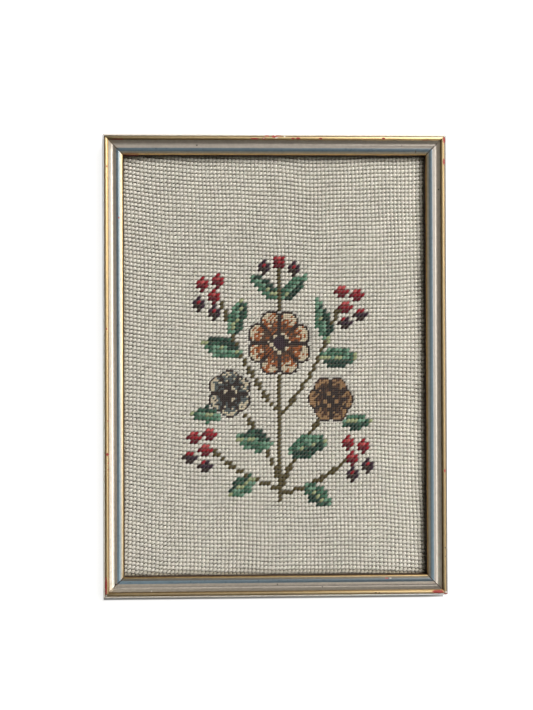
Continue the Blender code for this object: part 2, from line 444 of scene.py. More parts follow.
@dataclass(frozen=True)
class MouldingFinish:
    """Gilt bead and lip, silvered channel and blue ridge over red clay, all rubbed.

    Attributes:
        start: Where the first band's record begins, in metres from the outer side.
        end: Where the last band ends, down the wall of the sight edge.
        edge: How far a painted edge wavers, in metres.
        border: Half the width of the change between two bands, in metres.
        waver: How often the edges waver along and across, in features per metre.
        brush: How often brush lines come along and across, in features per metre.
        mottle: Size of the soft mottling and the rubbed spots, in features per metre.
        grain: Size of the finest grain, in features per metre.
        ragged: Size of the notches in the edge of a worn place, in features per metre.
        fleck: Size of the dark flecks, in features per metre.
        zones: The bands, from the outer side to the sight edge.
        wear_and_painted_light: Rubbing, painted light and painted shade of the bottom, right, top and left
            rails.
        forms: Where the toned forms meet, in metres.
        softness: How far their tones run into each other there, in metres.
        palest: The palest that a toned colour gets, in linear light.
        clay: The red ground's dark and light colour as seen, under the gilding.
        dirt: The colour of pits and flecks as seen.
        gesso: The white ground's colour as seen.
        chips: Worn places that show the red ground.
        pits: Dark specks.
        knocks: Pale knocks, down to the white ground.
        stains: Places where the red ground shines faintly through.
    """

    start: float = -0.0010
    end: float = 0.0160
    edge: float = 0.00012
    border: float = 0.00004
    waver: Pair = (260.0, 300.0)
    brush: Pair = (110.0, 4200.0)
    mottle: float = 520.0
    grain: float = 2600.0
    ragged: float = 1500.0
    fleck: float = 1900.0
    zones: tuple[Zone, ...] = (
        Zone(-0.00100, (186, 180, 170), (188, 181, 168), 0.0, 0.55),
        # The bead's outer edge is coloured darker, partly its own toning and partly painted shade on the side
        # turned from the window.
        Zone(0.00106, (98, 76, 44), (154, 126, 82), 0.85, 0.56),
        Zone(0.00180, (208, 185, 142), (210, 185, 138), 0.85, 0.60),
        Zone(0.00315, (190, 158, 106), (170, 144, 106), 0.8, 0.54),
        Zone(0.00385, (172, 162, 146), (192, 182, 168), 0.6, 0.44),
        Zone(0.00620, (192, 183, 170), (190, 180, 167), 0.5, 0.46),
        Zone(0.00870, (96, 114, 124), (94, 110, 118), 0.05, 0.30),
        Zone(0.01055, (96, 107, 110), (110, 113, 108), 0.2, 0.36),
        Zone(0.01105, (157, 150, 137), (174, 160, 132), 0.6, 0.40),
        Zone(0.01200, (208, 178, 128), (196, 160, 102), 0.85, 0.40),
        Zone(0.01290, (70, 48, 28), (60, 40, 26), 0.2, 0.60),
    )
    # Painted light and shade: besides rubbing, these tones lighten or darken each rail's forms for how they
    # face the window.
    wear_and_painted_light: tuple[WearAndPaintedLight, WearAndPaintedLight, WearAndPaintedLight, WearAndPaintedLight] = (
        WearAndPaintedLight((1.62, 0.95, 0.41, 0.90, 0.82, 1.28, 1.36, 1.42, 0.47, 0.56),
             (1.72, 0.77, 0.45, 0.55, 0.57, 1.30, 0.83, 0.90, 0.45, 0.55),
             (2.40, 1.12, 0.89, 0.33, 0.36, 1.50, 0.46, 0.51, 0.44, 0.57)),
        WearAndPaintedLight((0.34, 1.42, 0.45, 2.15, 1.38, 0.50, 1.63, 1.46, 1.62, 0.79),
             (0.31, 1.50, 0.49, 1.60, 0.97, 0.39, 1.30, 1.17, 1.78, 0.99),
             (0.33, 1.64, 0.55, 1.66, 0.70, 0.30, 0.92, 0.84, 1.36, 0.84)),
        WearAndPaintedLight((1.82, 0.60, 1.66, 0.90, 0.44, 0.33, 0.67, 0.69, 1.18, 1.23),
             (1.56, 0.35, 0.77, 0.91, 0.50, 0.55, 0.79, 0.81, 1.25, 1.39),
             (1.42, 0.27, 0.41, 0.93, 0.57, 0.76, 0.88, 0.90, 1.26, 1.48)),
        WearAndPaintedLight((3.20, 1.00, 1.14, 0.95, 0.91, 0.62, 0.77, 2.00, 1.17, 0.49),
             (2.15, 1.00, 0.76, 1.31, 1.66, 1.08, 0.63, 1.58, 1.60, 0.65),
             (1.80, 1.00, 0.68, 1.98, 2.02, 0.86, 1.30, 2.65, 1.15, 0.44)),
    )
    forms: tuple[float, ...] = (-0.0010, 0.00106, 0.0018, 0.00385, 0.0060, 0.0069, 0.0087, 0.0101, 0.0107,
                                0.0120, 0.0129)
    softness: tuple[float, ...] = (0.00004, 0.00004, 0.00004, 0.00012, 0.00042, 0.00042, 0.00008, 0.00012,
                                   0.00012, 0.00006, 0.00004)
    palest: float = 0.92
    clay: tuple[Colour, Colour] = ((146, 40, 40), (168, 70, 60))
    dirt: Colour = (62, 50, 40)
    gesso: Colour = (214, 206, 196)
    chips: tuple[Chip, ...] = (
        Chip(-0.0130, 0.1460, 0.0030, 0.0004), Chip(-0.0071, 0.1462, 0.0009, 0.0006),
        Chip(-0.0052, 0.1478, 0.0017, 0.0005), Chip(-0.0006, 0.1474, 0.0014, 0.0009),
        Chip(0.0022, 0.1479, 0.0024, 0.0004), Chip(0.0117, 0.1462, 0.0010, 0.0005),
        Chip(0.0150, 0.1463, 0.0014, 0.0006), Chip(0.0296, 0.1462, 0.0010, 0.0005),
        Chip(0.0703, 0.1463, 0.0010, 0.0006), Chip(0.1097, 0.1455, 0.0007, 0.0022),
        Chip(0.1095, 0.1315, 0.0007, 0.0020), Chip(0.1092, -0.0686, 0.0006, 0.0010),
        Chip(0.1043, -0.1466, 0.0038, 0.0010), Chip(0.1094, -0.1480, 0.0011, 0.0005),
        Chip(-0.1092, -0.1412, 0.0008, 0.0056), Chip(-0.1081, 0.1280, 0.0004, 0.0005),
        Chip(-0.1007, 0.0953, 0.0004, 0.0006), Chip(-0.1084, 0.0236, 0.0004, 0.0005),
        Chip(-0.1077, -0.0354, 0.0003, 0.0005), Chip(-0.1081, -0.0568, 0.0009, 0.0008),
        Chip(-0.1077, -0.0624, 0.0003, 0.0004), Chip(-0.1077, -0.0666, 0.0003, 0.0003),
        Chip(0.0715, -0.1382, 0.0010, 0.0003),
    )
    pits: tuple[Chip, ...] = (
        Chip(-0.0504, 0.1423, 0.0006, 0.0005), Chip(0.0825, 0.1422, 0.0004, 0.0003),
        Chip(0.0914, 0.1383, 0.0003, 0.0008), Chip(0.1063, 0.1137, 0.0004, 0.0004),
        Chip(0.0006, -0.1415, 0.0004, 0.0004), Chip(0.0297, -0.1434, 0.0004, 0.0004),
        Chip(0.0640, -0.1469, 0.0008, 0.0003), Chip(0.0663, -0.1470, 0.0006, 0.0003),
        Chip(0.1092, -0.1183, 0.0003, 0.0005), Chip(0.1092, -0.1238, 0.0003, 0.0004),
        Chip(-0.1032, -0.1407, 0.0006, 0.0006),
    )
    knocks: tuple[Chip, ...] = (
        Chip(-0.0071, 0.1462, 0.0004, 0.0003), Chip(0.0011, 0.1466, 0.0009, 0.0004),
        Chip(0.0062, 0.1474, 0.0006, 0.0005), Chip(-0.1090, -0.1473, 0.0006, 0.0006),
        Chip(0.1097, -0.1472, 0.0008, 0.0006), Chip(0.1100, 0.1478, 0.0006, 0.0004),
        Chip(-0.0803, -0.1449, 0.0004, 0.0003), Chip(0.0738, -0.1382, 0.0008, 0.0002),
    )
    stains: tuple[Chip, ...] = (
        Chip(-0.0930, 0.1367, 0.0056, 0.0006), Chip(-0.1010, 0.1455, 0.0036, 0.0004),
        Chip(0.0979, 0.1455, 0.0030, 0.0003),
    )

    def nearness(self, nodes: Nodes, place: Socket, ragged: Socket, spots: tuple[Chip, ...]) -> Socket:
        """Shows where a place lies inside any of several ragged spots.

        Args:
            nodes: The tree to add to.
            place: The place on the frame.
            ragged: Noise that makes the spots' edges ragged.
            spots: The spots.

        Returns:
            One inside a spot and zero outside.
        """
        nearest: object = 9.0
        for spot in spots:
            away = nodes.vector("SUBTRACT", place, (spot.x, spot.y, 0.0))
            scaled = nodes.vector("MULTIPLY", away, (1 / spot.half_x, 1 / spot.half_y, 0.0))
            far = nodes.add("VectorMath", {0: scaled}, operation="LENGTH").outputs["Value"]
            nearest = nodes.sum("MINIMUM", nearest, far)
        return nodes.spread(nodes.sum("ADD", nearest, ragged), 1.12, 0.92)

    def material(self) -> Material:
        """Builds the material from the bands, with rubbing, painted light and shade, specks and brush lines
        over them.

        Returns:
            The leaf and paint.
        """
        nodes = Nodes("leaf_paint_and_painted_light")
        place = nodes.place()
        run = nodes.axes(nodes.stored("run"))
        wavering = nodes.sum("SUBTRACT", nodes.streaks(run, self.waver, 3.0), 0.5)
        moved = nodes.sum("MULTIPLY_ADD", wavering, 2 * self.edge, run[1])
        share = nodes.sum("DIVIDE", nodes.sum("SUBTRACT", moved, self.start), self.end - self.start)
        colours = self.ramp(nodes, share, [(linear(*zone.outer), linear(*zone.inner))
                                           for zone in self.zones])
        metal = self.ramp(nodes, share, [((zone.metal,) * 3 + (1.0,),) * 2 for zone in self.zones])
        rough = self.ramp(nodes, share, [((zone.rough,) * 3 + (1.0,),) * 2 for zone in self.zones])

        streaks = nodes.streaks(run, self.brush, 4.0, 0.6)
        mottle = nodes.noise(place, self.mottle, 4.0, 0.62)
        grain = nodes.noise(place, self.grain, 2.0)
        tone = nodes.sum("MULTIPLY", nodes.spread(streaks, 0.3, 0.7, 0.95, 1.03),
                         nodes.spread(mottle, 0.3, 0.7, 0.91, 1.06))
        # Painted light and shade: the tone lightens or darkens each rail's forms for how they face the
        # lights, besides rubbing.
        tone = nodes.sum("MULTIPLY", tone, self.worn_and_painted_light(nodes, run[0], moved))
        toned = nodes.add("VectorMath", {0: colours, "Scale": tone}, operation="SCALE").outputs[0]
        colour = nodes.vector("MINIMUM", toned, (self.palest,) * 3)

        notches = nodes.sum("SUBTRACT", nodes.noise(place, self.ragged, 3.0, 0.7), 0.5)
        ragged = nodes.sum("MULTIPLY", notches, 1.5)
        chipped, pitted, knocked, stained = [self.nearness(nodes, place, ragged, spots) for spots in
                                             (self.chips, self.pits, self.knocks, self.stains)]
        rubbed = nodes.spread(nodes.noise(place, self.mottle, 5.0, 0.72), 0.70, 0.745)
        on_gilding = nodes.sum("GREATER_THAN", metal, 0.75)
        red = nodes.sum("MAXIMUM", chipped, nodes.sum("MULTIPLY", rubbed, on_gilding))
        clay = nodes.blend(nodes.spread(grain, 0.35, 0.65), *[linear(*shade) for shade in self.clay])
        flecks = nodes.spread(nodes.noise(place, self.fleck, 2.0, 0.5), 0.735, 0.775, 0.0, 0.8)
        pits = nodes.sum("MAXIMUM", pitted, flecks)
        for shown, ground in ((red, clay), (nodes.sum("MULTIPLY", stained, 0.45), clay),
                              (pits, linear(*self.dirt)), (knocked, linear(*self.gesso))):
            colour = nodes.blend(shown, colour, ground)

        bare = nodes.sum("MAXIMUM", nodes.sum("MAXIMUM", red, pits), knocked)
        roughened = nodes.sum("MULTIPLY_ADD", nodes.sum("SUBTRACT", mottle, 0.5), 0.18, rough)
        height = nodes.sum("MULTIPLY_ADD", streaks, 0.22, nodes.sum("MULTIPLY", grain, 0.45))
        height = nodes.sum("MULTIPLY_ADD", bare, -1.6, height)
        return nodes.dress({
            "Base Color": colour,
            "Metallic": nodes.sum("MULTIPLY", metal, nodes.sum("SUBTRACT", 1.0, bare)),
            "Roughness": nodes.sum("MULTIPLY_ADD", bare, 0.25, roughened),
            "Normal": nodes.bump(height, 0.00005, 0.6),
        })

    def worn_and_painted_light(self, nodes: Nodes, along: Socket, across: Socket) -> Socket:
        """Works out the tone of rubbing and of painted light and shade, which changes evenly along each half
        of a rail.

        Args:
            nodes: The tree to add to.
            along: The place along the rails, as they are laid end to end.
            across: The place across the moulding.

        Returns:
            The socket that holds the tone, one for unchanged.
        """
        tone: object = 1.0
        middles = [side * RAIL_STRIDE for side in range(len(self.wear_and_painted_light))]
        nears = [nodes.sum("LESS_THAN", nodes.sum("ABSOLUTE", nodes.sum("SUBTRACT", along, middle)),
                           RAIL_STRIDE / 2) for middle in middles]
        borders = list(zip(self.forms, self.softness))
        for form, ((outer, outer_blur), (inner, inner_blur)) in enumerate(zip(borders, borders[1:])):
            inside = nodes.sum("MULTIPLY", nodes.spread(across, outer - outer_blur, outer + outer_blur),
                               nodes.spread(across, inner + inner_blur, inner - inner_blur))
            for side, (wear_and_painted_light, middle, near) in enumerate(zip(self.wear_and_painted_light, middles, nears)):
                half = 0.5 * (RAIL_SPANS[side % 2] - Moulding.width)
                here: object = wear_and_painted_light.first[form] - 1
                for start, before, after in ((middle - half, wear_and_painted_light.first, wear_and_painted_light.middle),
                                             (middle, wear_and_painted_light.middle, wear_and_painted_light.last)):
                    change = nodes.add("MapRange", {"Value": along, "From Min": start,
                                                    "From Max": start + half,
                                                    "To Max": after[form] - before[form]})
                    here = nodes.sum("ADD", here, change.outputs["Result"])
                tone = nodes.sum("MULTIPLY_ADD", nodes.sum("MULTIPLY", here, near), inside, tone)
        return tone

    def ramp(self, nodes: Nodes, share: Socket,
             values: list[tuple[tuple[float, ...], tuple[float, ...]]]) -> Socket:
        """Makes a ramp with two stops for each band, so that the bands meet in firm borders.

        Args:
            nodes: The tree to add to.
            share: The place across the moulding, 0 to 1.
            values: For each band, what it has where it begins and where it ends.

        Returns:
            The socket that holds the value at the place.
        """
        node = nodes.add("ValToRGB", {"Fac": share})
        stops = node.color_ramp.elements
        while len(stops) < 2 * len(values):
            stops.new(1.0)
        ends = [zone.start for zone in self.zones[1:]] + [self.end]
        for number, (zone, end, pair) in enumerate(zip(self.zones, ends, values)):
            for stop, place, value in zip(stops[2 * number:2 * number + 2],
                                          (zone.start + self.border, end - self.border), pair):
                stop.position = (place - self.start) / (self.end - self.start)
                stop.color = value
        return node.outputs["Color"]


@dataclass(frozen=True)
class BareWoodFinish:
    """Plain sawn wood at the moulding's back and in its rebate.

    Attributes:
        light: Its light colour as seen.
        dark: Its dark colour as seen.
        fibres: How often the grain comes along, across and up, in features per metre.
    """

    light: Colour = (196, 164, 122)
    dark: Colour = (158, 122, 82)
    fibres: tuple[float, float, float] = (40.0, 1600.0, 1600.0)

    def material(self) -> Material:
        """Builds the material, its grain running along the rail.

        Returns:
            The bare wood.
        """
        nodes = Nodes("bare_wood")
        grain = nodes.streaks(nodes.axes(nodes.stored("run")), self.fibres, 4.0, 0.65)
        colour = nodes.blend(nodes.spread(grain, 0.3, 0.7), linear(*self.dark), linear(*self.light))
        return nodes.dress({"Base Color": colour, "Roughness": 0.7, "Normal": nodes.bump(grain, 0.0001, 0.6)})


@dataclass(frozen=True)
class BoardFinish:
    """Grey pulp board with flecks.

    Attributes:
        grey: Its colour as seen.
        fleck: The flecks' colour as seen.
        sizes: Sizes of the flecks and of the pulp, in features per metre.
    """

    grey: Colour = (150, 138, 120)
    fleck: Colour = (108, 96, 82)
    sizes: Pair = (900.0, 2400.0)

    def material(self) -> Material:
        """Builds the material.

        Returns:
            The board's finish.
        """
        nodes = Nodes("pulp_board")
        place = nodes.place()
        flecks = nodes.spread(nodes.noise(place, self.sizes[0], 4.0, 0.7), 0.45, 0.7)
        pulp = nodes.noise(place, self.sizes[1], 3.0)
        return nodes.dress({"Base Color": nodes.blend(flecks, linear(*self.grey), linear(*self.fleck)),
                            "Roughness": 0.9, "Normal": nodes.bump(pulp, 0.0001, 0.5)})


@dataclass
class Moulding:
    """The four mitred rails. Widths run inwards from the outer side, and heights from the back.

    Attributes:
        width: From the outer side to the sight edge, in metres.
        shoulder, bead, quirk, ridge, slope: Widths of the forms on its face, in metres.
        channel: Widths of the channel's fall, floor and rise, in metres.
        side_height, shoulder_height, bead_foot, quirk_height, floor_heights, ridge_heights,
            slope_height, lip_height, ledge_height: Heights of the forms, in metres.
        bows: How far the arcs of the shoulder, bead, floor, ridge and lip bow from their chords.
        steps: Into how many steps each of those arcs is drawn.
        rebate: Width of the rebate, in metres.
        joint: The gap of a mitre, in metres.
        ease: How far a mitre's edges are eased, in metres.
        heart: Height of the section's middle, towards which they are eased.
        pitch: Distance between the sections along a rail, in metres.
        crease: The angle from which an edge of the section stays sharp, in degrees.
    """

    width: float = 0.01275
    shoulder: float = 0.0012
    bead: float = 0.0024
    quirk: float = 0.00025
    channel: tuple[float, float, float] = (0.00155, 0.0016, 0.00155)
    ridge: float = 0.0027
    slope: float = 0.0008
    side_height: float = 0.0131
    shoulder_height: float = 0.0139
    bead_foot: float = 0.0142
    quirk_height: float = 0.0136
    floor_heights: Pair = (0.01225, 0.01201)
    ridge_heights: Pair = (0.0127, 0.01215)
    slope_height: float = 0.01135
    lip_height: float = 0.01065
    ledge_height: float = 0.0062
    bows: tuple[float, ...] = (0.00022, 0.00060, -0.00024, 0.00024, 0.00014)
    steps: tuple[int, ...] = (6, 20, 12, 12, 8)
    rebate: float = 0.0050
    joint: float = 0.0003
    ease: float = 0.00016
    heart: float = 0.0088
    pitch: float = 0.006
    crease: float = 38.0

    def bowed(self, start: Pair, end: Pair, bow: float, steps: int) -> list[Pair]:
        """Draws an arc that bows from its chord.

        Args:
            start: First end, across and up, in metres.
            end: Last end.
            bow: How far the arc stands off its chord, upwards if positive.
            steps: Number of steps.

        Returns:
            The points from end to end.
        """
        first, last = Vector(start), Vector(end)
        chord = last - first
        upright = Vector((-chord.y, chord.x)).normalized()
        radius = chord.length ** 2 / (8 * abs(bow)) + abs(bow) / 2
        side = math.copysign(1, bow)
        centre = (first + last) / 2 + upright * (bow - side * radius)
        half_turn = math.asin(min(1.0, chord.length / (2 * radius)))
        points = []
        for step in range(1, steps):
            turn = half_turn * (2 * step / steps - 1)
            along = chord.normalized() * radius * math.sin(turn)
            points.append(tuple(centre + along + upright * side * radius * math.cos(turn)))
        return [start, *points, end]

    def section(self) -> tuple[np.ndarray, np.ndarray, int]:
        """Draws the section from the back of the outer side round to the back of the rebate.

        Returns:
            Its points, across and up; how far each lies across the finish, which is unrolled
            down the outer side and down the wall of the sight edge; and the number of the first
            point that is bare wood.
        """
        bead_end = self.shoulder + self.bead
        floor_start = bead_end + self.quirk + self.channel[0]
        floor_end = floor_start + self.channel[1]
        ridge_start = floor_end + self.channel[2]
        ridge_end = ridge_start + self.ridge
        chords = (((0.0, self.side_height), (self.shoulder, self.shoulder_height)),
                  ((self.shoulder, self.bead_foot), (bead_end, self.bead_foot)),
                  ((floor_start, self.floor_heights[0]), (floor_end, self.floor_heights[1])),
                  ((ridge_start, self.ridge_heights[0]), (ridge_end, self.ridge_heights[1])),
                  ((ridge_end + self.slope, self.slope_height), (self.width, self.lip_height)))
        shoulder, bead, floor, ridge, lip = (self.bowed(*chord, bow, steps) for chord, bow, steps
                                             in zip(chords, self.bows, self.steps))
        faced = [
            (0.0, 0.0), (0.0, self.side_height / 2), *shoulder, *bead,
            (bead_end, self.quirk_height), (bead_end + self.quirk, self.quirk_height),
            *floor, *ridge, *lip,
            (self.width, (self.lip_height + self.ledge_height) / 2), (self.width, self.ledge_height),
        ]
        rebate_side = self.width - self.rebate
        points = np.array([*faced, (rebate_side, self.ledge_height), (rebate_side, 0.0)])
        unrolled = points[:, 0].copy()
        unrolled[:2] -= self.side_height - points[:2, 1]
        walls = slice(len(faced) - 2, len(faced))
        unrolled[walls] += self.lip_height - points[walls, 1]
        return points, unrolled, len(faced)

    def build(self, finish: Material, wood: Material) -> list[Piece]:
        """Builds the rails round the frame's own size.

        Args:
            finish: The leaf and paint.
            wood: The bare wood.

        Returns:
            The four rails, each standing for its solid.
        """
        low, high = CAD_BOX
        size = (high.x - low.x, high.y - low.y)
        rails = []
        for quarter, side in enumerate(("bottom", "right", "top", "left")):
            span, depth = size[::-1] if quarter % 2 else size
            piece = self.rail(f"moulding_{side}", span, depth / 2, quarter, [finish, wood])
            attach(piece, "root")
            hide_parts(f"rail_{side}")
            rails.append(piece)
        return rails

    def rail(self, name: str, span: float, reach: float, quarter: int, materials: list[Material]) -> Piece:
        """Builds one rail.

        Args:
            name: The rail's name.
            span: Its outer length, in metres.
            reach: From the picture's middle to its outer side, in metres.
            quarter: Quarter turns from the bottom rail.
            materials: The leaf and paint, and the bare wood.

        Returns:
            The rail.
        """
        section, unrolled, first_bare = self.section()
        half = span / 2 - section[:, 0] - self.joint / math.sqrt(2)
        eased = 1 - 2 * self.ease / span
        shares = [-1.0, *np.linspace(-eased, eased, round(span / self.pitch)), 1.0]
        turn = math.radians(90) * quarter
        inwards = np.array([self.width / 2, self.heart]) - section
        shrunk = section + inwards * (self.ease / np.linalg.norm(inwards, axis=1))[:, None]
        rows, runs = [], []
        for share in shares:
            drawn = shrunk if abs(share) == 1.0 else section
            along = half * share
            across = drawn[:, 0] - reach
            rows.append(np.stack([along * math.cos(turn) - across * math.sin(turn),
                                  along * math.sin(turn) + across * math.cos(turn),
                                  np.maximum(drawn[:, 1], 0.0)], axis=1))
            runs.append(np.stack([along + quarter * RAIL_STRIDE, unrolled, section[:, 1]], axis=1))
        sides = len(section)
        quads, ends = tube_faces(1, len(shares), sides)
        piece = mesh_piece(name, np.concatenate(rows), [quads[:, [0, 3, 2, 1]], ends[:, ::-1]], materials)
        bare = np.concatenate([np.arange(len(quads)) % sides >= first_bare - 1, [True, True]])
        piece.data.polygons.foreach_set("material_index", bare.astype(np.int32))
        stored = piece.data.attributes.new("run", "FLOAT_VECTOR", "POINT")
        stored.data.foreach_set("vector", np.concatenate(runs).ravel())
        piece.data.set_sharp_from_angle(angle=math.radians(self.crease))
        return piece


def soft_step(value: np.ndarray, middle: float, reach: float) -> np.ndarray:
    """Rises softly from zero to one about a middle."""
    return 1 / (1 + np.exp(-(value - middle) / reach))


@dataclass
class StretchedCloth:
    """Where the stretched canvas lies: its height, and how its rows and columns wander.

    Attributes:
        wool: Height of the wool over the canvas, in metres.
        inside: How far from the cut edge its height is still read, in metres.
    """

    wool: float = 0.00135
    inside: float = 0.0004

    def __post_init__(self) -> None:
        """Reads the cloth's surface and size from the frame."""
        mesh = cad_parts["needlepoint"].data
        self.surface = BVHTree.FromPolygons([vertex.co.copy() for vertex in mesh.vertices],
                                            [tuple(face.vertices) for face in mesh.polygons])
        self.low, self.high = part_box("needlepoint")
        rails_low, rails_high = CAD_BOX
        self.sight_width = rails_high.x - rails_low.x - 2 * Moulding.width
        self.sight_height = rails_high.y - rails_low.y - 2 * Moulding.width
        self.across = self.sight_width / STITCHES_ACROSS
        self.up = self.sight_height / STITCHES_UP

    def top(self, x: np.ndarray, y: np.ndarray) -> np.ndarray:
        """Finds the height of the cloth's upper face.

        Args:
            x: Places across, in metres.
            y: Places up, in metres.

        Returns:
            The heights there, in metres.
        """
        above = self.high.z + 0.05
        held_x = np.clip(x, self.low.x + self.inside, self.high.x - self.inside)
        held_y = np.clip(y, self.low.y + self.inside, self.high.y - self.inside)
        heights = [self.surface.ray_cast(Vector((across, up, above)), Vector((0, 0, -1)))[0].z
                   for across, up in zip(held_x.ravel(), held_y.ravel())]
        return np.array(heights).reshape(x.shape)

    def wander(self, x: np.ndarray, y: np.ndarray) -> tuple[np.ndarray, np.ndarray]:
        """Shifts places from an even grid to where the pulled canvas has them.

        Args:
            x: Places across, in metres.
            y: Places up, in metres.

        Returns:
            The places across and up on the pulled canvas.
        """
        pull = 0.0079 * (np.exp(-(x + self.sight_width / 2) / 0.045) - 0.42)
        high_band = soft_step(y, 0.030, 0.014)
        low_band = soft_step(-y, 0.005, 0.018)
        dip = -0.0021 * soft_step(x, 0.016, 0.0065) * high_band
        recovery = 0.0030 * np.clip((x - 0.028) / 0.070, 0, 1.2) * high_band
        corner = -0.075 * np.maximum(0, x - 0.066) * low_band
        top_lean = -0.040 * np.maximum(0, y - 0.070) * (0.75 - x / 0.25)
        foot_lean = -0.018 * np.maximum(0, -0.060 - y) * (1.0 - (x + 0.098) / 0.065)
        ripple_x = 0.00022 * np.sin(x * 71 + y * 43) + 0.00014 * np.sin(y * 167 - x * 29 + 1.3)
        ripple_y = 0.00024 * np.sin(x * 83 - y * 31 + 0.7) + 0.00015 * np.sin(x * 189 + y * 57)
        return x + top_lean + foot_lean + ripple_x, y + pull + dip + recovery + corner + ripple_y


@dataclass
class Canvas:
    """The canvas under the wool, cut to the rebate.

    Attributes:
        thickness: Its thickness, in metres.
        cells: Cells across and up in its mesh.
    """

    thickness: float = 0.0005
    cells: tuple[int, int] = (40, 56)

    def build(self, cloth: StretchedCloth, material: Material) -> Piece:
        """Builds the sheet over the cloth's soft swellings.

        Args:
            cloth: Where the cloth lies.
            material: The canvas.

        Returns:
            The sheet, which stands for the needlepoint's solid.
        """
        columns, rows = self.cells
        x, y = np.meshgrid(np.linspace(cloth.low.x, cloth.high.x, columns + 1),
                           np.linspace(cloth.low.y, cloth.high.y, rows + 1))
        points = np.stack([x, y, cloth.top(x, y) - cloth.wool], axis=2).reshape(-1, 3)
        corner = (np.arange(rows)[:, None] * (columns + 1) + np.arange(columns)).reshape(-1, 1)
        faces = corner + np.array([0, 1, columns + 2, columns + 1])
        piece = mesh_piece("canvas", points, [faces], [material])
        body = piece.modifiers.new("thickness", "SOLIDIFY")
        body.thickness = self.thickness
        body.offset = -1.0
        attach(piece, "root")
        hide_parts("needlepoint")
        return piece


@dataclass(frozen=True)
class Stitch:
    """One tent stitch: a plump loop of yarn that slants up to the right over a crossing.

    The places along it are shares of the stitch's own cell, and the other sizes are for a cell of
    a coarse stitch.

    Attributes:
        places: Places across and up, from the hole at its foot to the middle.
        heights: Height of the yarn's middle line over the canvas at those places, in metres.
        widths: Half the yarn's width there, in metres.
        depths: Half its depth there, in metres.
        corners: Angles of the points round the yarn, in degrees from its right side.
    """

    places: tuple[Pair, ...] = ((-0.475, -0.470), (-0.388, -0.345), (-0.188, -0.150))
    heights: tuple[float, ...] = (-0.00062, 0.00012, 0.00068)
    widths: tuple[float, ...] = (0.00033, 0.00077, 0.00100)
    depths: tuple[float, ...] = (0.00026, 0.00048, 0.00063)
    corners: tuple[float, ...] = (0, 48, 90, 132, 180, 270)

    def loops(self) -> tuple[np.ndarray, ...]:
        """Mirrors the half that is stated about the middle.

        Returns:
            Places, heights, widths and depths, from hole to hole.
        """
        half = np.array(self.places)
        return (np.concatenate([half, -half[::-1]]),
                *(np.array([*values, *values[::-1]]) for values in (self.heights, self.widths, self.depths)))


FINE_STITCH = Stitch(corners=(0, 60, 120, 180, 270))


@dataclass
class Worked:
    """Stitches of one size, ready to be made into a mesh.

    Attributes:
        x: Their middles across on the even grid, in metres.
        y: Their middles up, in metres.
        z: The canvas's height under them, in metres.
        dye_and_shade: Their colours in linear light, a row each, with grime and painted shade by the lip.
        pulled: The cloth that shifts them off the even grid.
        cell: The size of one cell across and up, in metres.
        scale: The yarn's thickness, of a coarse stitch's.
    """

    x: np.ndarray
    y: np.ndarray
    z: np.ndarray
    dye_and_shade: np.ndarray
    pulled: StretchedCloth
    cell: Pair
    scale: float

    def part(self, chosen: np.ndarray) -> "Worked":
        """Takes only some of the stitches."""
        return replace(self, x=self.x[chosen], y=self.y[chosen], z=self.z[chosen], dye_and_shade=self.dye_and_shade[chosen])


